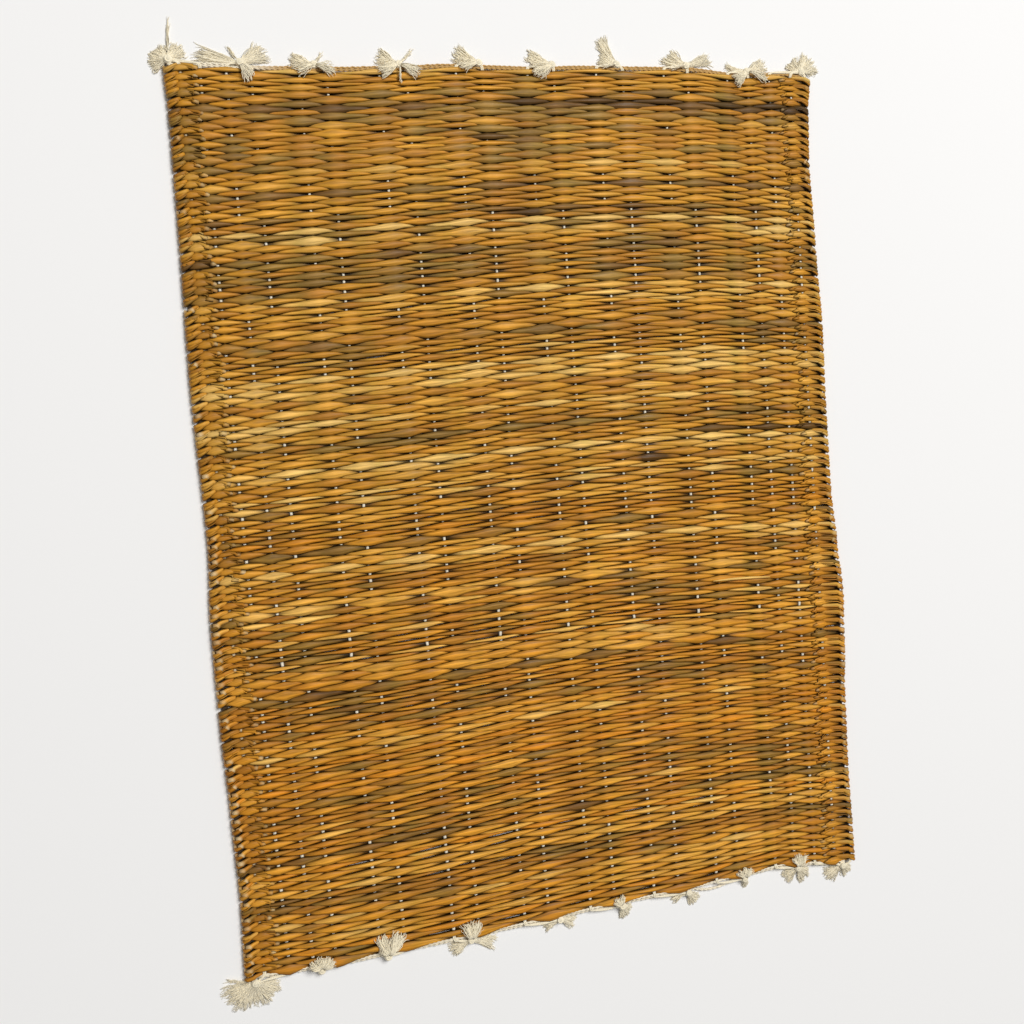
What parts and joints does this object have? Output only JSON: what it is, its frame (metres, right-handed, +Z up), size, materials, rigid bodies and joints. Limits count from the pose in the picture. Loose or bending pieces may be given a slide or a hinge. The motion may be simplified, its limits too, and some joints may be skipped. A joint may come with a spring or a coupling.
{
  "type": "woven straw placemat",
  "caption": "Flat rectangular placemat of rush stems woven over paired cotton warps, with a braided look along both sides and frayed cotton tufts knotted along both ends.",
  "frame": {"origin": "middle of the mat's flat underside, where it rests on the table", "axes": "+Y along the warps, towards the end that is further away in the picture; +X along the stems, to the right in the picture; +Z up out of the face that shows"},
  "size_m": [0.3683, 0.4911, 0.0064],
  "materials": {
    "rush": "dried rush, satin, uneven golden brown",
    "cotton": "matt undyed cotton yarn"
  },
  "bodies": {
    "root": {"woven_panel": "rush", "heading_cord_top": "cotton", "heading_cord_bottom": "cotton", "tuft_top_01": "cotton", "tuft_top_02": "cotton", "tuft_top_03": "cotton", "tuft_top_04": "cotton", "tuft_top_05": "cotton", "tuft_top_06": "cotton", "tuft_top_07": "cotton", "tuft_top_08": "cotton", "tuft_top_09": "cotton", "tuft_top_10": "cotton", "tuft_bottom_01": "cotton", "tuft_bottom_02": "cotton", "tuft_bottom_03": "cotton", "tuft_bottom_04": "cotton", "tuft_bottom_05": "cotton", "tuft_bottom_06": "cotton", "tuft_bottom_07": "cotton", "tuft_bottom_08": "cotton", "tuft_bottom_09": "cotton", "tuft_bottom_10": "cotton"}
  },
  "joints": []
}
